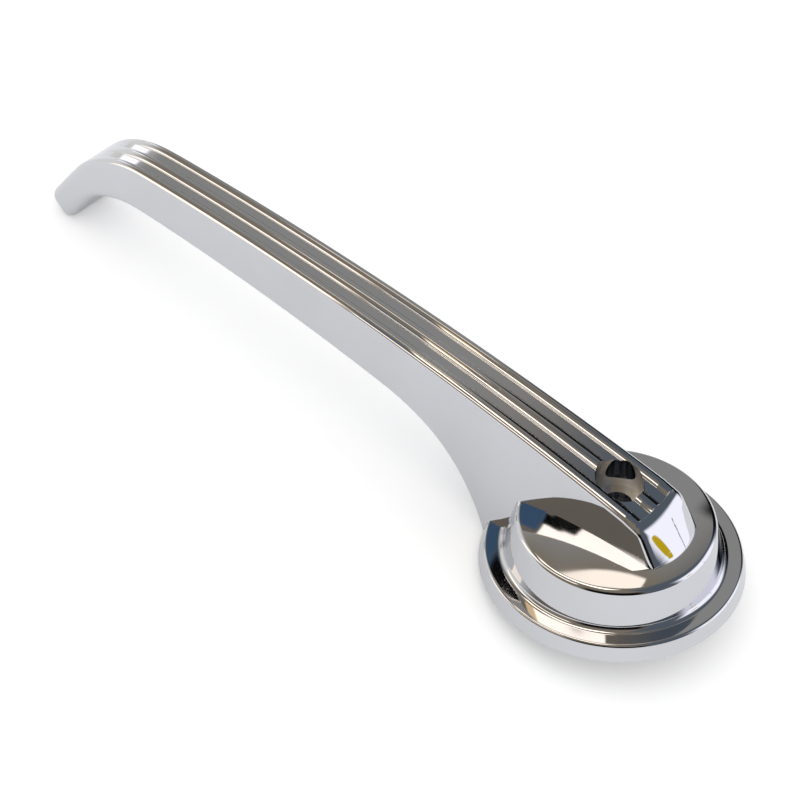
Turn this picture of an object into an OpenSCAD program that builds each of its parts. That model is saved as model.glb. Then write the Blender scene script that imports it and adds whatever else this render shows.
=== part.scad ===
// Interior door handle of a car, one chrome-plated casting in millimetres.
// The origin is where the spindle's axis meets the back face of the round base.
// +Z runs out of the door along that axis, and +X along the arm.

/* [Base] */
// Diameter of the round base at its back face
base_d = 46; // [42:0.5:56]
// Thickness of the flange round the hub
flange_t = 3; // [2:0.1:4]
// Draft of the flange's side wall, in degrees
flange_draft = 15; // [5:1:25]
// Radius of the flange's upper edge
flange_edge_r = 0.6; // [0.2:0.1:1]
// Diameter of the hub where its wall meets the flange
hub_d = 38; // [35:0.2:40]
// Height of the hub's domed top over the back face, at the screw
hub_h = 11.9; // [10.5:0.1:13]
// Radius of that dome
hub_top_r = 95; // [70:5:300]
// Draft of the hub's wall, in degrees
hub_draft = 15; // [3:1:20]
// Radius of the hub's upper rim
hub_rim_r = 1.2; // [0.5:0.1:2]
// Fillet between the hub's wall and the flange
hub_foot_r = 1.2; // [0.5:0.1:1.8]

/* [Back of the base] */
// Diameter of the hollow under the hub
pocket_d = 31; // [26:0.5:32]
// Thickness of the hub's top over the hollow, at the screw
hub_roof_t = 3.2; // [2.5:0.1:4.5]
// Draft of the hollow's walls, in degrees
pocket_draft = 2; // [1:0.5:4]
// Diameter of the spindle boss
boss_d = 16; // [14:0.5:18]
// Width across the flats of the square spindle
spindle_w = 8; // [6:0.1:9]
// Clearance round the spindle on each side
spindle_gap = 0.1; // [0.05:0.05:0.3]
// Depth of the spindle socket
socket_l = 10; // [7:0.5:11]

/* [Screw] */
// Diameter of the screw's hole
screw_hole_d = 5; // [4:0.1:5.5]
// Diameter of the recess for the screw's head
recess_d = 8.4; // [7:0.1:9.2]
// Height of the recess's floor over the back face
recess_floor = 14; // [13:0.1:15]

/* [Arm] */
// Width that the drafted flanks reach at the back face
arm_w = 15.6; // [14.6:0.1:17]
// Draft of the flanks, in degrees
arm_draft = 5; // [3:0.5:6]
// Height of the arm's top over the back face, at the screw
arm_h = 19.75; // [18:0.25:22]
// Radius of the long curve of the arm's top
crown_r = 575; // [450:5:1000]
// Radius of the long curve of the arm's underside
belly_r = 500; // [400:5:1000]
// Radius of the sweep from the base up to the underside
root_r = 36; // [30:1:42]
// Steepness of that sweep where it leaves the base, in degrees
root_steep = 62; // [55:1:70]
// How far each flank spreads at the foot of that sweep
root_spread = 0.8; // [0:0.1:1.2]
// Radius of the long edges of the arm's top, at the screw
crown_edge_r = 1.1; // [0.8:0.05:1.4]
// Radius of the underside's long edges
belly_edge_r = 1; // [0.5:0.1:2]
// Radius of the arm's front end about the screw, at the hub's dome
front_r = 13.6; // [12.5:0.1:14]
// Radius of the front end at the arm's top
front_top_r = 22; // [14:1:30]
// Lean of the front end, in degrees
front_lean = 35; // [10:1:38]
// Length of the rounding from the arm's top to the front end
front_edge_l = 0.8; // [0.6:0.1:1.2]
// Drop of that rounding
front_edge_h = 1.2; // [0.5:0.1:1.5]

/* [Hook] */
// Distance from the screw to the centre of the hook's bend
hook_x = 106.5; // [90:0.5:112]
// Height of that centre over the back face
hook_z = 15; // [12:0.5:18]
// Outer radius of the bend
hook_r = 21.7; // [20:0.1:24]
// Thickness of the arm where the bend starts
hook_t = 8.8; // [7:0.1:9.4]
// Turn of the bend, in degrees
hook_turn = 51; // [35:1:60]
// Length of the nose beyond the bend
nose_l = 11; // [8:0.2:13]
// Thickness of the nose
nose_t = 6.4; // [6:0.1:8.5]
// Radius of the nose's long edges
nose_edge_r = 1.8; // [1.2:0.1:2.6]
// Radius of the edges round the nose's end
nose_end_r = 2.6; // [1.5:0.1:3]

/* [Ribs] */
// Width of each of the three ribs at the screw
rib_w = 2.7; // [2:0.05:3]
// Height of the ribs over the channels
rib_h = 0.65; // [0.3:0.05:0.9]
// Radius about the screw at which the channels end
channel_end_r = 7.8; // [7:0.1:8]
// Length of the slope that closes each channel
channel_slope_l = 0.4; // [0.2:0.1:0.6]
// Turn of the bend at which the ribs start to fade, in degrees
fade_start = 4; // [0:1:15]
// Turn of the bend at which they are gone, in degrees
fade_end = 32; // [20:1:34]

/* [Hidden] */
$fn = 96;
base_r = base_d / 2;
hub_r = hub_d / 2;
boss_r = boss_d / 2;
socket_w = spindle_w + 2 * spindle_gap;
pocket_roof = hub_h - hub_roof_t;
arc_step = 12;       // degrees between the points of a rounded edge of the base
cut = 1;             // how far a cutting body runs past the face that it opens
arm_floor = 0.4;     // the arm's lowest level, inside the flange
hub_floor = hub_h - 1.7;   // the arm's lowest level over the hub, inside the hub
least_r = 0.3;       // least radius of the arm's edges
arm_back_x = -5;     // where the flat sections give way to the curved front end

// Plane geometry, as [x, z]
function unit(v) = v / norm(v);
function arc(centre, r, from, to, least = 2) =
    let (steps = max(least, ceil(abs(to - from) / arc_step)))
    [for (i = [0:steps]) let (a = from + (to - from) * i / steps) centre + r * [cos(a), sin(a)]];

// Centre of an arc of radius r that lies over two circles and touches both
function spanning_centre(c1, r1, c2, r2, r) =
    let (d = norm(c2 - c1), u = unit(c2 - c1), a = r - r1, b = r - r2,
         along = (a * a - b * b + d * d) / (2 * d))
    c1 + u * along + [u.y, -u.x] * sqrt(a * a - along * along);
function height_on(centre, r, x) = centre.y + sqrt(r * r - (x - centre.x) * (x - centre.x));

// The arm's side view: crown over belly, both running into the hook's bend
hook_c = [hook_x, hook_z];
crown_c = spanning_centre([0, arm_h], 0, hook_c, hook_r, crown_r);
root_x = sqrt(pow(base_r, 2) - pow(arm_w / 2 + root_spread, 2));
root_c = [root_x + root_r * sin(root_steep), -root_r * cos(root_steep)];
belly_c = spanning_centre(root_c, root_r, hook_c, hook_r - hook_t, belly_r);
crown_end = crown_c + unit(hook_c - crown_c) * crown_r;
root_end = belly_c + unit(root_c - belly_c) * belly_r;
bend_start = atan2(crown_end.x - hook_x, crown_end.y - hook_z);
function crown_z(x) = height_on(crown_c, crown_r, x);
function belly_z(x) =
    x <= root_x ? arm_floor
    : max(arm_floor, x < root_end.x ? height_on(root_c, root_r, x) : height_on(belly_c, belly_r, x));

// Half the arm's width at a height, between the two drafted flanks
function half_w(z) = arm_w / 2 - z * tan(arm_draft);
rib_share = rib_w / (2 * half_w(arm_h));
edge_share = crown_edge_r / half_w(arm_h);

// The front end: an arc about the screw that leans back and flattens towards the top
dome_c = [0, hub_h - hub_top_r];
front_foot_z = height_on(dome_c, hub_top_r, front_r);
front_top_z = crown_z(-front_r);
function front_x(y, z) =
    let (up = z - front_foot_z, share = up / (front_top_z - front_foot_z),
         r = front_r + (front_top_r - front_r) * share)
    up * tan(front_lean) - front_r + r - sqrt(r * r - y * y);
front_top_x = front_x(0, front_top_z);

// One section of the arm, from its top point to its bottom point, as [x, y, z].
// rib scales the ribs, edge is the radius of the lower edges, soft the least radius of
// the upper ones, inset draws the whole section in, and spread widens its lower end.
quarter = [0, 30, 60, 90];
function section(top, bottom, rib = 1, edge = belly_edge_r, soft = 0, inset = 0, spread = 0) =
    let (down = unit(bottom - top), deep = norm(bottom - top) - inset,
         wide = half_w(top.y) - inset, upper = max(soft, wide * edge_share),
         crest = wide - upper, foot = min(crest - wide * rib_share, crest * 0.9),
         middle = min(wide * rib_share, foot * 0.5),
         place = function (y, h) let (p = top + down * h) [p.x, y, p.y],
         flank = function (h) half_w((top + down * h).y) - inset,
         ribbed = function (a) inset + rib * rib_h * (1 - sin(a)),
         rounded = function (h, r, a) [flank(h) - r * (1 - cos(a)), h],
         outer = [for (a = quarter) rounded(inset + upper * (1 - sin(a)), upper, a)],
         inner = [for (a = [60, 30, 0]) [crest - (crest - foot) * cos(a), ribbed(a)]],
         ridge = [for (a = quarter) [middle * cos(a), ribbed(a)]],
         side = concat(outer, inner, ridge),
         lower = [for (a = quarter) rounded(deep - edge * (1 - sin(a)), edge, a) + [spread, 0]],
         last = len(side) - 1)
    concat(
        [for (i = [0:last]) place(-side[i][0], side[i][1])],
        [for (i = [last - 1:-1:0]) place(side[i][0], side[i][1])],
        [for (p = lower) place(p[0], p[1])],
        [for (share = [0.5, 0, -0.5]) place(share * lower[3][0], deep)],
        [for (i = [len(lower) - 1:-1:0]) place(-lower[i][0], lower[i][1])]
    );

// An upright section at x
function upright(x, edge = belly_edge_r, spread = 0) =
    section([x, crown_z(x)], [x, belly_z(x)], edge = edge, spread = spread);

// A section near the front, bent from flat (0) to the front end's own arc (1)
function bent(share, rib, setback = 0, drop = 0) =
    let (x = arm_back_x + share * (front_top_x - arm_back_x) + setback,
         flat = section([x, crown_z(x)], [x, hub_floor], rib = rib, edge = least_r, inset = drop))
    [for (p = flat) [arm_back_x + share * (front_x(p.y, p.z) - arm_back_x) + setback, p.y, p.z]];

// The front face, closed by smaller and smaller copies of its outline
function face(outline, size) =
    let (middle_z = (hub_floor + front_top_z) / 2)
    [for (p = outline)
        let (y = p.y * size, z = middle_z + (p.z - middle_z) * size) [front_x(y, z), y, z]];

// A section on the bend, square to its own arc
function fade(angle) =
    let (t = min(1, max(0, (angle - fade_start) / (fade_end - fade_start)))) (1 + cos(180 * t)) / 2;
function hooked(angle, t) =
    let (out = [sin(angle), cos(angle)], thick = hook_t + (nose_t - hook_t) * t * t)
    section(hook_c + out * hook_r, hook_c + out * (hook_r - thick), fade(angle),
            belly_edge_r + (nose_edge_r - belly_edge_r) * t, nose_edge_r * t * t);

// A section of the nose, a length beyond the bend
function nosed(length, inset = 0) =
    let (out = [sin(hook_turn), cos(hook_turn)], ahead = [cos(hook_turn), -sin(hook_turn)] * length)
    section(hook_c + out * hook_r + ahead, hook_c + out * (hook_r - nose_t) + ahead,
            0, max(least_r, nose_edge_r - inset), max(least_r, nose_edge_r - inset), inset);

// All sections in order, from the front end to the tip of the nose
front_end = bent(1, 0, drop = front_edge_h);
end_share = (channel_end_r + arm_back_x) / (arm_back_x - front_top_x);
slope_share = channel_slope_l / (arm_back_x - front_top_x);
fronts = concat(
    [for (size = [0.3, 0.7]) face(front_end, size)],
    [for (a = [90, 60, 30, 0]) bent(1, 0, front_edge_l * (1 - sin(a)), front_edge_h * (1 - cos(a)))],
    [bent(end_share + slope_share, 0), bent(end_share, 1), bent(end_share / 2, 1)]
);
root_slope = asin((root_c.x - root_end.x) / root_r);
roots = [
    for (i = [0:9])
        let (t = i / 9, slope = root_steep + (root_slope - root_steep) * t)
        upright(root_c.x - root_r * sin(slope), least_r + (belly_edge_r - least_r) * min(1, 2 * t),
                root_spread * pow(max(0, 1 - 2 * t), 2))
];
spans = [for (i = [1:5]) upright(root_end.x + (crown_end.x - root_end.x) * i / 6)];
bends = [
    for (i = [0:10])
        let (t = i / 10, angle = bend_start + (hook_turn - bend_start) * t)
        hooked(angle, t)
];
nose_ends = [
    for (a = [0, 20, 40, 58, 74])
        nosed(nose_l - nose_end_r * (1 - sin(a)), nose_end_r * (1 - cos(a)))
];
sections = concat(
    fronts,
    [for (x = [arm_back_x, 0, boss_r]) section([x, crown_z(x)], [x, hub_floor], edge = least_r)],
    [upright((boss_r + root_x) / 2, least_r, root_spread * 0.7)],
    roots, spans, bends, nose_ends
);

// A closed skin through sections that all have the same number of points
module skin(rings) {
    count = len(rings[0]);
    ends = [for (ring = [rings[0], rings[len(rings) - 1]]) [for (i = [0:count - 1]) 1] * ring / count];
    points = concat([for (ring = rings) each ring], ends);
    first = len(rings) * count;
    last = first - count;
    walls = [
        for (r = [0:len(rings) - 2], i = [0:count - 1])
            let (a = r * count + i, b = r * count + (i + 1) % count)
            each [[a, b, b + count], [a, b + count, a + count]]
    ];
    caps = [
        for (i = [0:count - 1])
            let (j = (i + 1) % count)
            each [[j, i, first], [last + i, last + j, first + 1]]
    ];
    polyhedron(points, concat(walls, caps), convexity = 6);
}

// The lever, swept from its front end over the hub to the tip of the hook
module arm() {
    skin(sections);
}

// The round base with its hub
module base() {
    flange_in = flange_edge_r / cos(flange_draft);
    foot_out = hub_foot_r / cos(hub_draft);
    flange_wall = function (z) base_r - z * tan(flange_draft);
    hub_wall = function (z) hub_r - (z - flange_t) * tan(hub_draft);
    edge_z = flange_t - flange_edge_r;
    foot_z = flange_t + hub_foot_r;

    // the rim's rounding touches the drafted wall and the dome
    out = [cos(hub_draft), sin(hub_draft)];
    reach = ([hub_r, flange_t] - dome_c) * out - hub_rim_r;
    rise = sqrt(pow(hub_top_r - hub_rim_r, 2) - reach * reach);
    rim_c = dome_c + out * reach + [-out.y, out.x] * rise;
    rim_a = atan2(rim_c.y - dome_c.y, rim_c.x);
    rotate_extrude()
        polygon(concat(
            [[0, 0], [base_r, 0]],
            arc([flange_wall(edge_z) - flange_in, edge_z], flange_edge_r, flange_draft, 90),
            arc([hub_wall(foot_z) + foot_out, foot_z], hub_foot_r, 270, 180 + hub_draft),
            arc(rim_c, hub_rim_r, hub_draft, rim_a),
            arc(dome_c, hub_top_r, rim_a, 90, least = 5)
        ));
}

// The hollow round the spindle boss, open at the back
module pocket() {
    shift = tan(pocket_draft);
    rotate_extrude()
        polygon([
            [boss_r - cut * shift, -cut],
            [pocket_d / 2 + cut * shift, -cut],
            [pocket_d / 2 - pocket_roof * shift, pocket_roof],
            [boss_r + pocket_roof * shift, pocket_roof]
        ]);
}

// The square socket, the screw's hole and the recess for its head, on one axis
module fixings() {
    translate([-socket_w / 2, -socket_w / 2, -cut])
        cube([socket_w, socket_w, socket_l + cut]);
    translate([0, 0, socket_l - cut])
        cylinder(d = screw_hole_d, h = recess_floor - socket_l + 2 * cut);
    translate([0, 0, recess_floor])
        cylinder(d = recess_d, h = crown_z(recess_d) - recess_floor + cut);
}

module handle_casting() {
    color("silver")
        difference() {
            union() {
                base();
                arm();
            }
            pocket();
            fixings();
        }
}

handle_casting();
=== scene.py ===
import bpy
import math
import numpy as np
from mathutils import Matrix, Vector
from mathutils.bvhtree import BVHTree


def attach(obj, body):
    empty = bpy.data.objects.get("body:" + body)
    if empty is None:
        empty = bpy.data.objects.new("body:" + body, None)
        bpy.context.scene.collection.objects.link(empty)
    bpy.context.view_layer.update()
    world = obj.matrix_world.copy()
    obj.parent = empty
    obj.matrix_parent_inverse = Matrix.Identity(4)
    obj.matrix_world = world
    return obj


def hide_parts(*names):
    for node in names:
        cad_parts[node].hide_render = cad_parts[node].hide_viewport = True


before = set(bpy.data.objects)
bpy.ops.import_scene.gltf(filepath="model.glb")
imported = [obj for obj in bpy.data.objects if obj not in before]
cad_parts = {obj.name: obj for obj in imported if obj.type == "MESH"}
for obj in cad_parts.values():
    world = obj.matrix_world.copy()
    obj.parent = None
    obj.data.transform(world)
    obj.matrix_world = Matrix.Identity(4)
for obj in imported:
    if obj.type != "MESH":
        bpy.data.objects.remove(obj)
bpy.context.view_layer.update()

# Interior door handle of a car: one chrome-plated casting.
# Sizes are in millimetres until a mesh is made, in the frame of the CAD:
# +Z out of the door along the spindle, +X along the arm.
mm = 0.001


def angles(start, end, steps):
    return np.radians(np.linspace(start, end, steps + 1))


def unit(v):
    return np.asarray(v, float) / np.linalg.norm(v)


# The arm's side view: crown over belly, both running into the hook

armSizes = {
    "width": 15.6, "draft": 5.0, "height": 19.75,       # flanks are flat and drafted
    "crownRadius": 575.0, "bellyRadius": 500.0,
    "rootRadius": 36.0, "rootSteepness": 62.0, "rootSpread": 0.8,
    "bellyEdge": 1.0, "leastEdge": 0.3,
    "hookX": 106.5, "hookZ": 15.0, "hookRadius": 21.7, "hookThickness": 8.8, "hookTurn": 51.0,
    "noseLength": 10.88, "noseThickness": 6.4, "noseEdge": 1.8, "noseEndEdge": 2.6,
    "ribWidth": 2.7, "ribHeight": 0.65, "ribFillet": 0.3, "crownEdge": 1.1,
    "fadeStart": 4.0, "fadeEnd": 32.0,
    "frontRadius": 13.6, "frontTopRadius": 22.0, "frontLean": 35.0,
    "frontEdgeLength": 0.8, "frontEdgeDrop": 1.2,
    "channelEnd": 7.8, "channelSlope": 0.4, "backX": -5.0,
    "floor": 0.4, "softening": 2.0,
    "crownStart": -16.0, "squareFrom": 55.0,    # from here on the sections turn square to the crown
    "lineStep": 0.25, "ringStep": 0.7, "hookStep": 0.45, "hookReach": 6.0,
}
baseSizes = {
    "radius": 23.0, "flange": 3.0, "flangeDraft": 15.0, "flangeEdge": 0.6,
    "hubRadius": 19.0, "hubHeight": 11.9, "hubTop": 95.0, "hubDraft": 15.0, "hubRim": 1.2, "hubFoot": 1.2,
    "pocketRadius": 15.5, "bossRadius": 8.0, "roof": 3.2, "pocketDraft": 2.0,
    "socketWidth": 8.2, "socketDepth": 10.0, "screwHole": 2.5, "recess": 4.2, "recessFloor": 14.0,
    "armSink": 1.7, "overlap": 1.0, "cutTop": 23.0,
}
a, b = armSizes, baseSizes
hubFloor = b["hubHeight"] - b["armSink"]
domeZ = b["hubHeight"] - b["hubTop"]      # centre of the hub's domed top


def spanningCentre(c1, r1, c2, r2, r):
    # centre of an arc of radius r that lies over two circles and touches both
    c1, c2 = np.asarray(c1, float), np.asarray(c2, float)
    d = np.linalg.norm(c2 - c1)
    u = (c2 - c1) / d
    p, q = r - r1, r - r2
    along = (p * p - q * q + d * d) / (2 * d)
    return c1 + u * along + np.array([u[1], -u[0]]) * math.sqrt(p * p - along * along)


hook = np.array([a["hookX"], a["hookZ"]])
rootX = math.sqrt(b["radius"] ** 2 - (a["width"] / 2 + a["rootSpread"]) ** 2)
steep = math.radians(a["rootSteepness"])
root = np.array([rootX + a["rootRadius"] * math.sin(steep), -a["rootRadius"] * math.cos(steep)])
crown = spanningCentre([0, a["height"]], 0, hook, a["hookRadius"], a["crownRadius"])
belly = spanningCentre(root, a["rootRadius"], hook, a["hookRadius"] - a["hookThickness"], a["bellyRadius"])
crownEnd = crown + unit(hook - crown) * a["crownRadius"]
rootEnd = belly + unit(root - belly) * a["bellyRadius"]
bendStart = math.atan2(*(crownEnd - hook))
bendEnd = math.radians(a["hookTurn"])


def crownHeight(x):
    return crown[1] + math.sqrt(a["crownRadius"] ** 2 - (x - crown[0]) ** 2)


def softened(points, reach):
    # the same line with its turns spread over a longer stretch, so that gloss runs on
    points = np.asarray(points)
    step = 0.1
    lengths = np.concatenate([[0], np.cumsum(np.linalg.norm(np.diff(points, axis=0), axis=1))])
    s = np.arange(0, lengths[-1], step)
    even = np.stack([np.interp(s, lengths, points[:, k]) for k in (0, 1)], 1)
    turn = np.unwrap(np.arctan2(*np.diff(even, axis=0).T[::-1]))
    window = np.exp(-0.5 * (np.arange(-4 * reach, 4 * reach + step, step) / reach) ** 2)
    pad = len(window) // 2
    padded = np.concatenate([np.full(pad, turn[0]), turn, np.full(pad, turn[-1])])
    turn = np.convolve(padded, window / window.sum(), "valid")[:len(turn)]
    moves = np.stack([np.cos(turn), np.sin(turn)], 1) * step
    return np.concatenate([even[:1], even[0] + np.cumsum(moves, axis=0)])


def sideLines():
    # crown and belly as even polylines, from the hub to the end of the nose
    ahead = np.array([math.cos(bendEnd), -math.sin(bendEnd)])
    out = np.array([math.sin(bendEnd), math.cos(bendEnd)])
    step = a["lineStep"]
    top = [[x, crownHeight(x)] for x in np.arange(a["crownStart"], crownEnd[0], step)]
    under = [[x, math.sqrt(max(0, a["rootRadius"] ** 2 - (x - root[0]) ** 2)) + root[1]]
             for x in np.arange(rootX, rootEnd[0], step)]
    startX = hook[0] + (a["hookRadius"] - a["hookThickness"]) * math.sin(bendStart)
    under += [[x, belly[1] + math.sqrt(a["bellyRadius"] ** 2 - (x - belly[0]) ** 2)]
              for x in np.arange(rootEnd[0], startX, step)]
    for t in np.linspace(0, 1, 90):
        angle = bendStart + (bendEnd - bendStart) * t
        way = np.array([math.sin(angle), math.cos(angle)])
        thick = a["hookThickness"] + (a["noseThickness"] - a["hookThickness"]) * t * t
        top.append(hook + way * a["hookRadius"])
        under.append(hook + way * (a["hookRadius"] - thick))
    for beyond in np.linspace(0.2, 30, 60):
        top.append(hook + out * a["hookRadius"] + ahead * beyond)
        under.append(hook + out * (a["hookRadius"] - a["noseThickness"]) + ahead * beyond)
    return softened(top, a["softening"]), softened(under, a["softening"])


crownLine, bellyLine = sideLines()


def across(point, way, line):
    # where the ray from point along way meets the polyline
    side = (line[:, 0] - point[0]) * way[1] - (line[:, 1] - point[1]) * way[0]
    reach = (line - point) @ way
    for i in np.nonzero((side[:-1] * side[1:] <= 0) & (reach[:-1] > 0.2))[0]:
        t = side[i] / (side[i] - side[i + 1])
        return line[i] + (line[i + 1] - line[i]) * t
    return None


# One section of the arm

def halfWidth(z):
    return a["width"] / 2 - z * math.tan(math.radians(a["draft"]))


ribShare = a["ribWidth"] / (2 * halfWidth(a["height"]))
edgeShare = a["crownEdge"] / halfWidth(a["height"])


def ribWithFillet(width, height, fillet):
    # a quarter of a rib from its crest to the channel, as (distance from the crest, depth)
    height = max(height, 1e-4)
    fillet = min(fillet, height * 0.3)
    low, high = 0.0, math.pi / 2
    for _ in range(40):
        mid = (low + high) / 2
        normal = unit([math.cos(mid) / width, math.sin(mid) / height])
        if height * math.sin(mid) + fillet * normal[1] - fillet < 0:
            low = mid
        else:
            high = mid
    normal = unit([math.cos(mid) / width, math.sin(mid) / height])
    rib = [(width * math.cos(t), height - height * math.sin(t)) for t in np.linspace(math.pi / 2, mid, 11)]
    centre = np.array([width * math.cos(mid), height * math.sin(mid)]) + normal * fillet
    start = math.atan2(-normal[1], -normal[0])
    for t in np.linspace(start, -math.pi / 2, 9)[1:]:
        y, z = centre + fillet * np.array([math.cos(t), math.sin(t)])
        rib.append((y, height - z))
    return rib


def section(top, bottom, rib=1.0, edge=None, soft=0.0, inset=0.0, spread=0.0):
    # a closed ring of points, from the middle of the crown round the +Y flank and back
    top, bottom = np.asarray(top, float), np.asarray(bottom, float)
    down, deep = unit(bottom - top), np.linalg.norm(bottom - top) - inset
    edge = a["bellyEdge"] if edge is None else edge
    wide = halfWidth(top[1]) - inset
    upper = max(soft, wide * edgeShare)
    crest = wide - upper
    foot = min(crest - wide * ribShare, crest * 0.9)
    middle = min(wide * ribShare, foot * 0.5)
    depth = rib * a["ribHeight"]

    def flank(h):
        return halfWidth((top + down * h)[1]) - inset

    ridge = [(y, inset + h) for y, h in ribWithFillet(middle, depth, a["ribFillet"])]
    inner = [(crest - y, inset + h) for y, h in ribWithFillet(crest - foot, depth, a["ribFillet"])][::-1]
    channel = [(y, inset + depth) for y in np.linspace(ridge[-1][0], inner[0][0], 6)[1:-1]]
    outer = []
    for t in angles(90, 0, 12)[1:]:
        h = inset + upper * (1 - math.sin(t))
        outer.append((flank(h) - upper * (1 - math.cos(t)), h))
    lower = []
    for t in angles(0, 90, 9):
        h = deep - edge * (1 - math.sin(t))
        lower.append((flank(h) - edge * (1 - math.cos(t)) + spread, h))
    side = [tuple(np.array(outer[-1]) + (np.array(lower[0]) - outer[-1]) * t)
            for t in np.linspace(0, 1, 8)[1:-1]]
    under = [(lower[-1][0] * t, deep) for t in np.linspace(1, 0, 8)[1:]]
    half = ridge + channel + inner + outer + side + lower + under
    ring = half + [(-y, h) for y, h in half[-2:0:-1]]
    spots = np.array([[*(top + down * h), y] for y, h in ring])
    return spots[:, [0, 2, 1]]


# The front end over the hub

frontTopZ = crownHeight(-a["frontRadius"])
frontFootZ = domeZ + math.sqrt(b["hubTop"] ** 2 - a["frontRadius"] ** 2)


def frontX(y, z):
    # an arc about the screw that leans back and flattens towards the top
    up = z - frontFootZ
    r = a["frontRadius"] + (a["frontTopRadius"] - a["frontRadius"]) * up / (frontTopZ - frontFootZ)
    return up * math.tan(math.radians(a["frontLean"])) - a["frontRadius"] + r - np.sqrt(r * r - y * y)


frontTopX = float(frontX(0, frontTopZ))


def bent(share, rib, setback=0.0, drop=0.0):
    x = a["backX"] + share * (frontTopX - a["backX"]) + setback
    ring = section([x, crownHeight(x)], [x, hubFloor], rib, a["leastEdge"], inset=drop)
    ring[:, 0] = a["backX"] + share * (frontX(ring[:, 1], ring[:, 2]) - a["backX"]) + setback
    return ring


def frontRings():
    reach = a["backX"] - frontTopX
    endShare = (a["channelEnd"] + a["backX"]) / reach
    slopeShare = a["channelSlope"] / reach
    edge = bent(1, 0, drop=a["frontEdgeDrop"])
    middle = np.array([0, (hubFloor + frontTopZ) / 2])
    rings = []
    for size in np.linspace(0.06, 0.94, 12):
        ring = edge.copy()
        ring[:, 1:] = middle + (edge[:, 1:] - middle) * size
        ring[:, 0] = frontX(ring[:, 1], ring[:, 2])
        rings.append(ring)
    for t in angles(90, 0, 12):
        setback = a["frontEdgeLength"] * (1 - math.sin(t))
        rings.append(bent(1, 0, setback, a["frontEdgeDrop"] * (1 - math.cos(t))))
    lastSetback = a["frontEdgeLength"]
    for t in np.linspace(0, 1, 5)[1:]:
        share = 1 + (endShare + slopeShare - 1) * t
        rings.append(bent(share, 0, lastSetback * (1 - t)))
    for t in np.linspace(0, 1, 9)[1:]:
        rings.append(bent(endShare + slopeShare * (1 - t), (1 - math.cos(math.pi * t)) / 2))
    for t in np.linspace(1, 0, 8)[1:-1]:
        rings.append(bent(endShare * t, 1))
    return rings


def fade(angle):
    t = min(1, max(0, (math.degrees(angle) - a["fadeStart"]) / (a["fadeEnd"] - a["fadeStart"])))
    return (1 + math.cos(math.pi * t)) / 2


def armRings():
    rings = frontRings()
    for x in np.arange(a["backX"], rootX, 0.8):
        share = min(1, max(0, (x - b["bossRadius"]) / (rootX - b["bossRadius"])))
        bottom = hubFloor if x <= b["bossRadius"] else hubFloor + (a["floor"] - hubFloor) * min(1, 2 * share)
        rings.append(section([x, crownHeight(x)], [x, bottom], edge=a["leastEdge"],
                             spread=a["rootSpread"] * min(1, share * 1.4)))
    moves = np.linalg.norm(np.diff(crownLine, axis=0), axis=1)
    along = np.concatenate([[0], np.cumsum(moves)])
    slope = np.arctan2(-np.diff(crownLine[:, 1]), np.diff(crownLine[:, 0]))
    start = float(np.interp(rootX + 0.05, crownLine[:, 0], along))
    bend = float(np.interp(crownEnd[0], crownLine[:, 0], along))
    nose = bend + (bendEnd - bendStart) * a["hookRadius"] + a["noseLength"] - a["noseEndEdge"]
    near = bend - a["hookReach"]
    stations = [np.arange(start, near, a["ringStep"]), np.arange(near, nose, a["hookStep"]), [nose]]
    for s in np.concatenate(stations):
        point = np.array([np.interp(s, along, crownLine[:, k]) for k in (0, 1)])
        tilt = float(np.interp(s, along[:-1], slope))
        lean = min(1, max(0, (point[0] - a["squareFrom"]) / (crownEnd[0] - a["squareFrom"])))
        lean = lean * lean * (3 - 2 * lean)
        tilt *= lean
        way = np.array([-math.sin(tilt), -math.cos(tilt)])
        foot = across(point, way, bellyLine)
        t = min(1, max(0, (s - bend) / ((bendEnd - bendStart) * a["hookRadius"])))
        rise = min(1, max(0, (foot[0] - rootX) / (rootEnd[0] - rootX)))
        edge = a["leastEdge"] + (a["bellyEdge"] - a["leastEdge"]) * min(1, 2 * rise)
        edge += (a["noseEdge"] - edge) * t
        rings.append(section(point, foot, fade(tilt if s > bend else 0), edge, a["noseEdge"] * t * t,
                             spread=a["rootSpread"] * max(0, 1 - 2 * rise) ** 2))
    # the nose's end, drawn in on a quarter round
    last = unit(np.array([math.cos(tilt), -math.sin(tilt)]))
    for angle in angles(0, 88, 14)[1:]:
        ahead = last * a["noseEndEdge"] * math.sin(angle)
        inset = a["noseEndEdge"] * (1 - math.cos(angle))
        corner = max(a["leastEdge"], a["noseEdge"] - inset * 0.6)
        rings.append(section(point + ahead, foot + ahead, 0, corner, corner, inset))
    middle, cap = rings[-1].mean(axis=0), rings[-1]
    for size in (0.7, 0.4, 0.15):
        rings.append(middle + (cap - middle) * size)
    return rings


def meshFrom(name, points, faces):
    mesh = bpy.data.meshes.new(name)
    mesh.from_pydata([tuple(p) for p in np.asarray(points) * mm], [], faces)
    mesh.validate()
    return mesh


def skin(name, rings):
    count = len(rings[0])
    points = np.concatenate(rings + [[rings[0].mean(axis=0)], [rings[-1].mean(axis=0)]])
    faces = []
    for r in range(len(rings) - 1):
        for i in range(count):
            j = (i + 1) % count
            faces.append((r * count + j, r * count + i, (r + 1) * count + i, (r + 1) * count + j))
    first, last = len(rings) * count, (len(rings) - 1) * count
    for i in range(count):
        j = (i + 1) % count
        faces.append((i, j, first))
        faces.append((last + j, last + i, first + 1))
    return meshFrom(name, points, faces)


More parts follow.
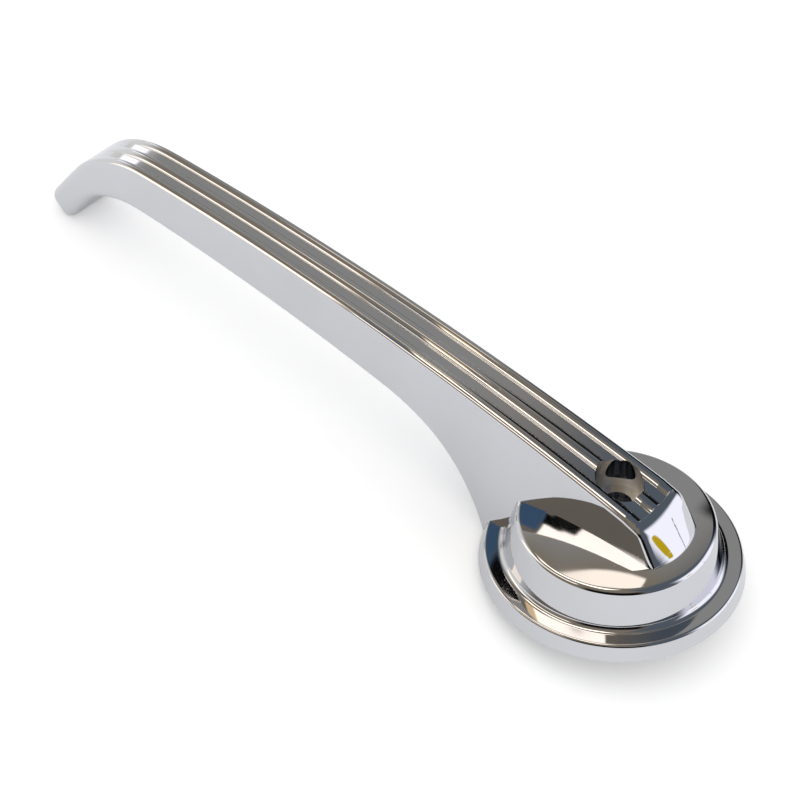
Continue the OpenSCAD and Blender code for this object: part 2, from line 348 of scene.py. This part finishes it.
def revolved(name, profile, segments=360):
    # a closed profile of (radius, height) turned about the spindle's axis; radius 0 is one point
    points, rows, faces = [], [], []
    for r, z in profile:
        if r < 1e-6:
            rows.append([len(points)] * segments)
            points.append((0, 0, z))
        else:
            rows.append(list(range(len(points), len(points) + segments)))
            for k in range(segments):
                t = 2 * math.pi * k / segments
                points.append((r * math.cos(t), r * math.sin(t), z))
    for low, high in zip(rows, rows[1:] + rows[:1]):
        for k in range(segments):
            n = (k + 1) % segments
            face = []
            for v in (low[k], low[n], high[n], high[k]):
                if v not in face:
                    face.append(v)
            if len(face) > 2:
                faces.append(tuple(face))
    return meshFrom(name, points, faces)


def round2d(centre, r, start, end, steps):
    return [(centre[0] + r * math.cos(t), centre[1] + r * math.sin(t)) for t in angles(start, end, steps)]


def baseProfile():
    flangeTan, hubTan = math.tan(math.radians(b["flangeDraft"])), math.tan(math.radians(b["hubDraft"]))
    edgeZ, footZ = b["flange"] - b["flangeEdge"], b["flange"] + b["hubFoot"]
    flangeCos, hubCos = math.cos(math.radians(b["flangeDraft"])), math.cos(math.radians(b["hubDraft"]))
    edge = (b["radius"] - edgeZ * flangeTan - b["flangeEdge"] / flangeCos, edgeZ)
    foot = (b["hubRadius"] - b["hubFoot"] * hubTan + b["hubFoot"] / hubCos, footZ)
    # the rim's rounding touches the drafted wall and the dome
    out = np.array([hubCos, math.sin(math.radians(b["hubDraft"]))])
    reach = out @ [b["hubRadius"], b["flange"] - domeZ] - b["hubRim"]
    rise = math.sqrt((b["hubTop"] - b["hubRim"]) ** 2 - reach ** 2)
    rim = np.array([0, domeZ]) + out * reach + np.array([-out[1], out[0]]) * rise
    rimEnd = math.degrees(math.atan2(rim[1] - domeZ, rim[0]))
    wall = [(b["radius"] - z * flangeTan, z) for z in (0.9, 1.8)]
    return ([(0, 0), (b["radius"], 0)] + wall
            + round2d(edge, b["flangeEdge"], b["flangeDraft"], 90, 9)
            + round2d(foot, b["hubFoot"], 270, 180 + b["hubDraft"], 10)
            + round2d(rim, b["hubRim"], b["hubDraft"], rimEnd, 14)
            + round2d((0, domeZ), b["hubTop"], rimEnd, 90, 24)[1:-1] + [(0, b["hubHeight"])])


def pocketProfile():
    shift, roof = math.tan(math.radians(b["pocketDraft"])), b["hubHeight"] - b["roof"]
    inner, outer = b["bossRadius"], b["pocketRadius"]
    return [(inner - shift, -b["overlap"]), (outer + shift, -b["overlap"]),
            (outer - roof * shift, roof), (inner + roof * shift, roof)]


def boxMesh(name, low, high):
    (x0, y0, z0), (x1, y1, z1) = low, high
    points = [(x, y, z) for z in (z0, z1) for y in (y0, y1) for x in (x0, x1)]
    faces = [(0, 2, 3, 1), (4, 5, 7, 6), (0, 1, 5, 4), (2, 6, 7, 3), (0, 4, 6, 2), (1, 3, 7, 5)]
    return meshFrom(name, points, faces)


# Joining the forms, with gloss that doesn't show the joins

def cornerNormals(mesh, limit=38):
    # for each triangle its three corners' normals: areas weigh, and edges over the limit stay crisp
    mesh.calc_loop_triangles()
    tris = np.empty(len(mesh.loop_triangles) * 3, int)
    mesh.loop_triangles.foreach_get("vertices", tris)
    spots = np.empty(len(mesh.vertices) * 3)
    mesh.vertices.foreach_get("co", spots)
    spots, tris = spots.reshape(-1, 3), tris.reshape(-1, 3)
    raw = np.cross(spots[tris[:, 1]] - spots[tris[:, 0]], spots[tris[:, 2]] - spots[tris[:, 0]])
    flat = raw / np.maximum(np.linalg.norm(raw, axis=1), 1e-20)[:, None]
    order = np.argsort(tris.ravel(), kind="stable")     # corners, those of one vertex together
    owner = tris.ravel()[order]
    counts = np.bincount(owner, minlength=len(spots))
    starts = np.concatenate([[0], np.cumsum(counts)])[:-1]
    first = np.repeat(np.arange(len(order)), counts[owner])
    opening = np.concatenate([[0], np.cumsum(counts[owner])])[:-1]
    second = starts[owner[first]] + np.arange(len(first)) - opening[first]
    one, two = order[first] // 3, order[second] // 3
    near = (flat[one] * flat[two]).sum(axis=1) > math.cos(math.radians(limit))
    sums = np.add.reduceat(raw[two] * near[:, None], opening)
    lengths = np.linalg.norm(sums, axis=1)
    sums = np.where(lengths[:, None] > 1e-20, sums / np.maximum(lengths, 1e-20)[:, None], flat[order // 3])
    normals = np.empty((len(order), 3))
    normals[order] = sums
    return spots, tris, normals.reshape(-1, 3, 3)


def shares(spots, corners):
    # barycentric shares of each spot in its triangle
    edge1, edge2 = corners[:, 1] - corners[:, 0], corners[:, 2] - corners[:, 0]
    to = spots - corners[:, 0]
    d11, d12, d22 = (edge1 * edge1).sum(1), (edge1 * edge2).sum(1), (edge2 * edge2).sum(1)
    t1, t2 = (to * edge1).sum(1), (to * edge2).sum(1)
    base = np.maximum(d11 * d22 - d12 * d12, 1e-30)
    v, w = (d22 * t1 - d12 * t2) / base, (d11 * t2 - d12 * t1) / base
    found = np.stack([1 - v - w, v, w], 1).clip(0, 1)
    return found / found.sum(axis=1)[:, None]


def joined(name, parts):
    # each part is a mesh and how it joins; its material index tells later which form a face came from
    objects = []
    for index, (mesh, operation) in enumerate(parts):
        for other in range(len(parts)):
            key = "form%d" % other
            mesh.materials.append(bpy.data.materials.get(key) or bpy.data.materials.new(key))
        mesh.polygons.foreach_set("material_index", np.full(len(mesh.polygons), index))
        obj = bpy.data.objects.new(mesh.name, mesh)
        bpy.context.scene.collection.objects.link(obj)
        objects.append(obj)
    target = objects[0]
    for obj, (mesh, operation) in list(zip(objects, parts))[1:]:
        cutter = target.modifiers.new(mesh.name, "BOOLEAN")
        cutter.operation, cutter.object, cutter.solver = operation, obj, "EXACT"
    bpy.context.view_layer.update()
    result = bpy.data.meshes.new_from_object(target.evaluated_get(bpy.context.evaluated_depsgraph_get()))
    result.name = name
    spots = np.empty(len(result.vertices) * 3)
    result.vertices.foreach_get("co", spots)
    corner = np.empty(len(result.loops), int)
    result.loops.foreach_get("vertex_index", corner)
    spots = spots.reshape(-1, 3)[corner]
    loopForm, hits = np.empty(len(result.loops), int), np.empty(len(result.loops), int)
    sources = [cornerNormals(mesh) for mesh, operation in parts]
    trees = [BVHTree.FromPolygons(points.tolist(), tris.tolist(), epsilon=0)
             for points, tris, normals in sources]
    for poly in result.polygons:
        tree, middle = trees[poly.material_index], poly.center
        for loop in poly.loop_indices:
            loopForm[loop] = poly.material_index
            hits[loop] = tree.find_nearest(Vector(spots[loop]).lerp(middle, 0.02))[2]
    loopNormals = np.empty((len(result.loops), 3))
    for index, (points, tris, normals) in enumerate(sources):
        mine = loopForm == index
        weights = shares(spots[mine], points[tris[hits[mine]]])
        blended = (weights[:, :, None] * normals[hits[mine]]).sum(axis=1)
        sign = 1 if index == 0 or parts[index][1] == "UNION" else -1
        loopNormals[mine] = sign * blended / np.linalg.norm(blended, axis=1)[:, None]
    result.polygons.foreach_set("use_smooth", np.ones(len(result.polygons), bool))
    result.normals_split_custom_set(loopNormals.tolist())
    for obj in objects:
        bpy.data.objects.remove(obj)
    return result


print("modelling the casting")
halfSocket = b["socketWidth"] / 2
screwLow, screwHigh = b["socketDepth"] - b["overlap"], b["recessFloor"] + b["overlap"]
forms = [
    (revolved("baseForm", baseProfile()), "UNION"),
    (skin("armForm", armRings()), "UNION"),
    (revolved("pocketForm", pocketProfile(), 180), "DIFFERENCE"),
    (boxMesh("socketForm", [-halfSocket, -halfSocket, -b["overlap"]],
             [halfSocket, halfSocket, b["socketDepth"]]), "DIFFERENCE"),
    (revolved("screwForm", [(0, screwLow), (b["screwHole"], screwLow),
                            (b["screwHole"], screwHigh), (0, screwHigh)], 128), "DIFFERENCE"),
    (revolved("recessForm", [(0, b["recessFloor"]), (b["recess"], b["recessFloor"]),
                             (b["recess"], b["cutTop"]), (0, b["cutTop"])], 192), "DIFFERENCE"),
]
casting = joined("handleCasting", forms)
handle = bpy.data.objects.new("handleCasting", casting)
bpy.context.scene.collection.objects.link(handle)
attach(handle, "root")
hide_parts("handle_casting")
print("casting:", len(casting.polygons), "faces")


# Finishes: polished chrome outside, satin plating in the hidden back

chromeLook = {
    "colour": (0.62, 0.63, 0.665, 1), "handledColour": (0.595, 0.602, 0.63, 1),
    "glossy": 0.025, "dull": 0.075, "handledSize": 14.0,    # roughness of clean and of handled places
    "waviness": 0.035, "waveSize": 9.0, "waveDepth": 0.4,   # polishing waves: strength, and sizes in mm
    "hairlines": 0.010, "hairlineSize": 0.9, "hairlineLength": 14.0,
    "pits": 0.03, "pitSize": 0.45, "fineDepth": 0.05,
}
satinLook = {
    "colour": (0.50, 0.505, 0.53, 1), "darker": (0.44, 0.445, 0.465, 1),
    "smooth": 0.30, "rough": 0.46, "patchSize": 4.0,
    "grain": 0.25, "grainSize": 0.6, "grainDepth": 0.05,
}
seatLook = {
    "colour": (0.80, 0.76, 0.70, 1), "darker": (0.70, 0.66, 0.60, 1),
    "smooth": 0.26, "rough": 0.40, "patchSize": 4.0,
    "grain": 0.2, "grainSize": 0.5, "grainDepth": 0.05,
}


def newMaterial(name):
    material = bpy.data.materials.new(name)
    material.use_nodes = True
    tree = material.node_tree
    return material, tree, tree.nodes["Principled BSDF"]


def link(tree, source, target):
    tree.links.new(source, target)


def noise(tree, where, size, detail=2.0, stretch=(1, 1, 1)):
    # noise whose spots are about size millimetres, drawn out by stretch
    mapping = tree.nodes.new("ShaderNodeMapping")
    mapping.inputs["Scale"].default_value = [1 / (size * mm * s) for s in stretch]
    link(tree, where, mapping.inputs["Vector"])
    node = tree.nodes.new("ShaderNodeTexNoise")
    node.inputs["Scale"].default_value = 1.0
    node.inputs["Detail"].default_value = detail
    link(tree, mapping.outputs["Vector"], node.inputs["Vector"])
    return node.outputs["Fac"]


def mathNode(tree, operation, one, two=None):
    node = tree.nodes.new("ShaderNodeMath")
    node.operation = operation
    for socket, value in zip(node.inputs, (one, two)):
        if isinstance(value, (int, float)):
            socket.default_value = value
        elif value is not None:
            link(tree, value, socket)
    return node.outputs["Value"]


def ranged(tree, value, low, high, start, end):
    node = tree.nodes.new("ShaderNodeMapRange")
    node.inputs["From Min"].default_value, node.inputs["From Max"].default_value = low, high
    node.inputs["To Min"].default_value, node.inputs["To Max"].default_value = start, end
    link(tree, value, node.inputs["Value"])
    return node.outputs["Result"]


def toned(tree, value, low, high, first, second):
    # a colour that runs from first to second while the value runs from low to high
    ramp = tree.nodes.new("ShaderNodeValToRGB")
    for element, position, colour in zip(ramp.color_ramp.elements, (low, high), (first, second)):
        element.position = position
        element.color = colour
    link(tree, value, ramp.inputs["Fac"])
    return ramp.outputs["Color"]


def bump(tree, height, strength, distance, before=None):
    node = tree.nodes.new("ShaderNodeBump")
    node.inputs["Strength"].default_value = strength
    node.inputs["Distance"].default_value = distance
    link(tree, height, node.inputs["Height"])
    if before is not None:
        link(tree, before, node.inputs["Normal"])
    return node.outputs["Normal"]


def chromeMaterial():
    look = chromeLook
    material, tree, shader = newMaterial("polishedChrome")
    where = tree.nodes.new("ShaderNodeTexCoord").outputs["Object"]
    shader.inputs["Metallic"].default_value = 1
    handled = noise(tree, where, look["handledSize"], 5)
    tones = toned(tree, handled, 0.40, 0.75, look["colour"], look["handledColour"])
    link(tree, tones, shader.inputs["Base Color"])
    link(tree, ranged(tree, handled, 0.42, 0.72, look["glossy"], look["dull"]), shader.inputs["Roughness"])
    waves = bump(tree, noise(tree, where, look["waveSize"], 1), look["waviness"], look["waveDepth"] * mm)
    lines = noise(tree, where, look["hairlineSize"], 3, (look["hairlineLength"], 1, 1))
    fine = bump(tree, lines, look["hairlines"], look["fineDepth"] * mm, waves)
    specks = ranged(tree, noise(tree, where, look["pitSize"], 0), 0.80, 0.86, 1, 0)
    link(tree, bump(tree, specks, look["pits"], look["fineDepth"] * mm, fine), shader.inputs["Normal"])
    return material


def satinMaterial(name, look):
    material, tree, shader = newMaterial(name)
    where = tree.nodes.new("ShaderNodeTexCoord").outputs["Object"]
    shader.inputs["Metallic"].default_value = 1
    patches = noise(tree, where, look["patchSize"], 4)
    link(tree, toned(tree, patches, 0.35, 0.70, look["colour"], look["darker"]), shader.inputs["Base Color"])
    link(tree, ranged(tree, patches, 0.3, 0.7, look["smooth"], look["rough"]), shader.inputs["Roughness"])
    grain = noise(tree, where, look["grainSize"], 4)
    link(tree, bump(tree, grain, look["grain"], look["grainDepth"] * mm), shader.inputs["Normal"])
    return material


print("finishing the surfaces")
hiddenForms, recessForm = (2, 3), 5     # pocket and spindle's socket; the recess for the screw's head
form = np.empty(len(casting.polygons), int)
casting.polygons.foreach_get("material_index", form)
level = np.array([abs(p.center[2]) < 1e-5 for p in casting.polygons])
casting.materials.clear()
casting.materials.append(chromeMaterial())
casting.materials.append(satinMaterial("satinPlating", satinLook))
casting.materials.append(satinMaterial("machinedSeat", seatLook))
finish = (np.isin(form, hiddenForms) | level).astype(int)
finish[[form[p.index] == recessForm and p.normal.z > 0.9 for p in casting.polygons]] = 2   # the screw's seat
casting.polygons.foreach_set("material_index", finish)


# Camera

viewSizes = {
    "place": (-0.12423, 0.21148, 0.25911), "forward": (0.46440, -0.57349, -0.67487),
    "lens": 92.25, "sensor": 36.0,
}
camera = bpy.data.objects.new("camera", bpy.data.cameras.new("camera"))
bpy.context.scene.collection.objects.link(camera)
camera.data.lens = viewSizes["lens"]
camera.data.sensor_width = viewSizes["sensor"]
camera.data.clip_start = 0.01
forward = Vector(viewSizes["forward"]).normalized()
right = forward.cross(Vector((0, 0, 1))).normalized()
up = right.cross(forward)
camera.matrix_world = Matrix.Translation(Vector(viewSizes["place"])) @ Matrix(
    (right, up, -forward)).transposed().to_4x4()
bpy.context.scene.camera = camera


# The table top: the handle lies on the edge of its base and on its nose

floorSizes = {"slope": 0.167, "touchX": 23.0, "reach": 3.0, "drop": 0.2, "paleness": 0.16}


def floorHeight(x):
    return (x * 1000 - floorSizes["touchX"]) * floorSizes["slope"] * mm - floorSizes["drop"] * mm


reach = floorSizes["reach"]
corners = [(x, y, floorHeight(x))
           for x, y in ((-reach, -reach), (reach, -reach), (reach, reach), (-reach, reach))]
floorMesh = bpy.data.meshes.new("floor")
floorMesh.from_pydata(corners, [], [(0, 1, 2, 3)])
floor = bpy.data.objects.new("floor", floorMesh)
bpy.context.scene.collection.objects.link(floor)
floorMaterial, tree, shader = newMaterial("paleFloor")
shader.inputs["Base Color"].default_value = (1, 1, 1, 1)
shader.inputs["Roughness"].default_value = 1
shader.inputs["Specular IOR Level"].default_value = 0
clear = tree.nodes.new("ShaderNodeBsdfTransparent")
sides = tree.nodes.new("ShaderNodeMixShader")
link(tree, tree.nodes.new("ShaderNodeNewGeometry").outputs["Backfacing"], sides.inputs["Fac"])
glow = tree.nodes.new("ShaderNodeEmission")         # the camera sees plain white away from the shadow
seen = tree.nodes.new("ShaderNodeLightPath").outputs["Is Camera Ray"]
link(tree, mathNode(tree, "MULTIPLY", seen, floorSizes["paleness"]), glow.inputs["Strength"])
both = tree.nodes.new("ShaderNodeAddShader")
link(tree, shader.outputs["BSDF"], both.inputs[0])
link(tree, glow.outputs["Emission"], both.inputs[1])
link(tree, both.outputs["Shader"], sides.inputs[1])
link(tree, clear.outputs["BSDF"], sides.inputs[2])
link(tree, sides.outputs["Shader"], tree.nodes["Material Output"].inputs["Surface"])
floorMesh.materials.append(floorMaterial)


# What the chrome mirrors: a plain room of a few soft surfaces, each of one plain colour

chromeShare = np.array([0.62, 0.63, 0.665])     # of the light that the chrome gives back
roomStrength = 1.7

# the colours, as they look in the chrome, 0 to 1
roomColours = {
    "warmGrey": (0.45, 0.42, 0.38), "slate": (0.30, 0.33, 0.37), "grey": (0.50, 0.50, 0.50),
    "pale": (0.80, 0.80, 0.80), "white": (0.95, 0.95, 1.00), "cream": (1.00, 0.95, 0.90),
    "blue": (0.25, 0.35, 0.45), "gold": (0.75, 0.65, 0.50), "yellow": (0.70, 0.60, 0.10),
    "black": (0.05, 0.05, 0.05),
}

# the walls, each over those before it, in degrees: the azimuth of the middle, half the width,
# the elevation of the middle, half the height, the soft edge. The ceiling is warm grey.
roomWalls = {
    "slateWall": {"azimuth": 215, "half": 70, "height": 25, "halfHeight": 60, "soft": 20, "colour": "slate"},
    "paleWall": {"azimuth": 355, "half": 60, "height": 0, "halfHeight": 55, "soft": 25, "colour": "pale"},
    "greyWall": {"azimuth": 300, "half": 30, "height": 10, "halfHeight": 55, "soft": 15, "colour": "grey"},
    "darkWall": {"azimuth": 125, "half": 35, "height": 0, "halfHeight": 40, "soft": 12, "colour": "black"},
    "window": {"azimuth": 220, "half": 35, "height": 0, "halfHeight": 45, "soft": 15, "colour": "white"},
    "doorway": {"azimuth": 270, "half": 15, "height": 0, "halfHeight": 40, "soft": 4, "colour": "black"},
    "lampStrip": {"azimuth": 305, "half": 20, "height": 65, "halfHeight": 3, "soft": 1, "colour": "cream"},
}

# cards close to the handle: centre, two half sides (mm), colour, soft edge, round, brightness
roomCards = {
    "creamCard": {"centre": (16.5, 23.5, 80), "side": (34.5, 0, 0), "other": (0, 11.5, 0),
                  "seen": "cream", "soft": 0.12, "isRound": False, "bright": 1.7},
    "goldCard": {"centre": (44, 6, 80.2), "side": (7.5, 0, 0), "other": (0, 9, 0),
                 "seen": "gold", "soft": 0.3, "isRound": False, "bright": 1.6},
    "blackCard": {"centre": (43, 34.5, 79.5), "side": (9.5, 0, 0), "other": (0, 6, 0),
                  "seen": "black", "soft": 0.25, "isRound": False, "bright": 1},
    "blueCard": {"centre": (60, 33, 79), "side": (10, 0, 0), "other": (0, 12, 0),
                 "seen": "blue", "soft": 0.2, "isRound": False, "bright": 1},
    "longCard": {"centre": (39, 60, 59), "side": (39, 0, 4), "other": (0, 0, 11),
                 "seen": "cream", "soft": 0.3, "isRound": False, "bright": 1.3},
    "tallCard": {"centre": (134, 60, 72), "side": (56, 0, 4), "other": (0, 0, 32),
                 "seen": "cream", "soft": 0.25, "isRound": False, "bright": 1.3},
    "tipCard": {"centre": (407, -222, 185), "side": (-22.8, 17, 70.5), "other": (9.6, 12.9, 0),
                "seen": "white", "soft": 0.4, "isRound": False, "bright": 1.2},
    "creaseCard": {"centre": (-237, -204, 17), "side": (0, 0, 34), "other": (1.7, -1.95, 0),
                   "seen": "slate", "soft": 0.5, "isRound": False, "bright": 1},
    "yellowSpot": {"centre": (-60, -15.3, 19.4), "side": (0, 3.4, -2.5), "other": (0, 4.8, 0),
                   "seen": "yellow", "soft": 0.25, "isRound": True, "bright": 1},
}


def mirrored(name):
    # the light that looks like this colour in the chrome
    shares = np.array(roomColours[name])
    return np.where(shares <= 0.04045, shares / 12.92, ((shares + 0.055) / 1.055) ** 2.4) / chromeShare


def softSpan(tree, away, half, soft):
    # 1 near the middle, falling to 0 over the soft edge
    cover = ranged(tree, away, half, half - soft, 0, 1)
    cover.node.interpolation_type = "SMOOTHSTEP"
    return cover


def makeRoom():
    world = bpy.data.worlds.new("room")
    world.use_nodes = True
    tree = world.node_tree
    parts = tree.nodes.new("ShaderNodeSeparateXYZ")
    link(tree, tree.nodes.new("ShaderNodeTexCoord").outputs["Generated"], parts.inputs["Vector"])
    turn = mathNode(tree, "ARCTAN2", parts.outputs["Y"], parts.outputs["X"])
    turn = mathNode(tree, "DIVIDE", turn, 2 * math.pi)
    height = mathNode(tree, "ARCSINE", parts.outputs["Z"])
    height = mathNode(tree, "MULTIPLY", height, 180 / math.pi)
    ceiling = tree.nodes.new("ShaderNodeRGB")
    ceiling.outputs["Color"].default_value = (*(mirrored("warmGrey") / roomStrength), 1)
    colour = ceiling.outputs["Color"]
    for wall in roomWalls.values():
        aside = mathNode(tree, "FRACT", mathNode(tree, "ADD", turn, 1.5 - wall["azimuth"] / 360))
        aside = mathNode(tree, "ABSOLUTE", mathNode(tree, "SUBTRACT", aside, 0.5))
        aside = mathNode(tree, "MULTIPLY", aside, 360)
        above = mathNode(tree, "ABSOLUTE", mathNode(tree, "SUBTRACT", height, wall["height"]))
        cover = mathNode(tree, "MULTIPLY", softSpan(tree, aside, wall["half"], wall["soft"]),
                     softSpan(tree, above, wall["halfHeight"], wall["soft"]))
        mix = tree.nodes.new("ShaderNodeMix")
        mix.data_type = "RGBA"
        mix.inputs["B"].default_value = (*(mirrored(wall["colour"]) / roomStrength), 1)
        link(tree, cover, mix.inputs["Factor"])
        link(tree, colour, mix.inputs["A"])
        colour = mix.outputs["Result"]
    plain = tree.nodes["Background"]        # light for everything but mirror images
    plain.inputs["Color"].default_value = (1, 1, 1, 1)
    plain.inputs["Strength"].default_value = 1
    room = tree.nodes.new("ShaderNodeBackground")
    room.inputs["Strength"].default_value = roomStrength
    link(tree, colour, room.inputs["Color"])
    either = tree.nodes.new("ShaderNodeMixShader")
    link(tree, tree.nodes.new("ShaderNodeLightPath").outputs["Is Glossy Ray"], either.inputs["Fac"])
    link(tree, plain.outputs["Background"], either.inputs[1])
    link(tree, room.outputs["Background"], either.inputs[2])
    link(tree, either.outputs["Shader"], tree.nodes["World Output"].inputs["Surface"])
    bpy.context.scene.world = world


def makeCard(name, centre, side, other, seen, soft, isRound, bright):
    mesh = bpy.data.meshes.new(name)
    mesh.from_pydata([(-1, -1, 0), (1, -1, 0), (1, 1, 0), (-1, 1, 0)], [], [(0, 1, 2, 3)])
    card = bpy.data.objects.new(name, mesh)
    bpy.context.scene.collection.objects.link(card)
    side, other = Vector(side) * mm, Vector(other) * mm
    turned = Matrix((side, other, side.cross(other).normalized())).transposed().to_4x4()
    card.matrix_world = Matrix.Translation(Vector(centre) * mm) @ turned
    for kind in ("camera", "diffuse", "transmission", "volume_scatter", "shadow"):
        setattr(card, "visible_" + kind, False)
    material = bpy.data.materials.new(name)
    material.use_nodes = True
    tree = material.node_tree
    tree.nodes.remove(tree.nodes["Principled BSDF"])
    spot = tree.nodes.new("ShaderNodeTexCoord").outputs["Object"]
    if isRound:
        length = tree.nodes.new("ShaderNodeVectorMath")
        length.operation = "LENGTH"
        link(tree, spot, length.inputs[0])
        cover = ranged(tree, length.outputs["Value"], 1, 1 - soft, 0, 1)
    else:
        parts = tree.nodes.new("ShaderNodeSeparateXYZ")
        link(tree, spot, parts.inputs["Vector"])
        across = soft * other.length / side.length
        first = ranged(tree, mathNode(tree, "ABSOLUTE", parts.outputs["X"]), 1, 1 - across, 0, 1)
        second = ranged(tree, mathNode(tree, "ABSOLUTE", parts.outputs["Y"]), 1, 1 - soft, 0, 1)
        cover = mathNode(tree, "MULTIPLY", first, second)
    glow = tree.nodes.new("ShaderNodeEmission")
    glow.inputs["Color"].default_value = (*mirrored(seen), 1)
    glow.inputs["Strength"].default_value = bright
    clear = tree.nodes.new("ShaderNodeBsdfTransparent")
    either = tree.nodes.new("ShaderNodeMixShader")
    link(tree, cover, either.inputs["Fac"])
    link(tree, clear.outputs["BSDF"], either.inputs[1])
    link(tree, glow.outputs["Emission"], either.inputs[2])
    link(tree, either.outputs["Shader"], tree.nodes["Material Output"].inputs["Surface"])
    mesh.materials.append(material)


print("setting up the room")
makeRoom()
for name, values in roomCards.items():
    makeCard(name, **values)
bpy.context.scene.view_settings.view_transform = "Standard"
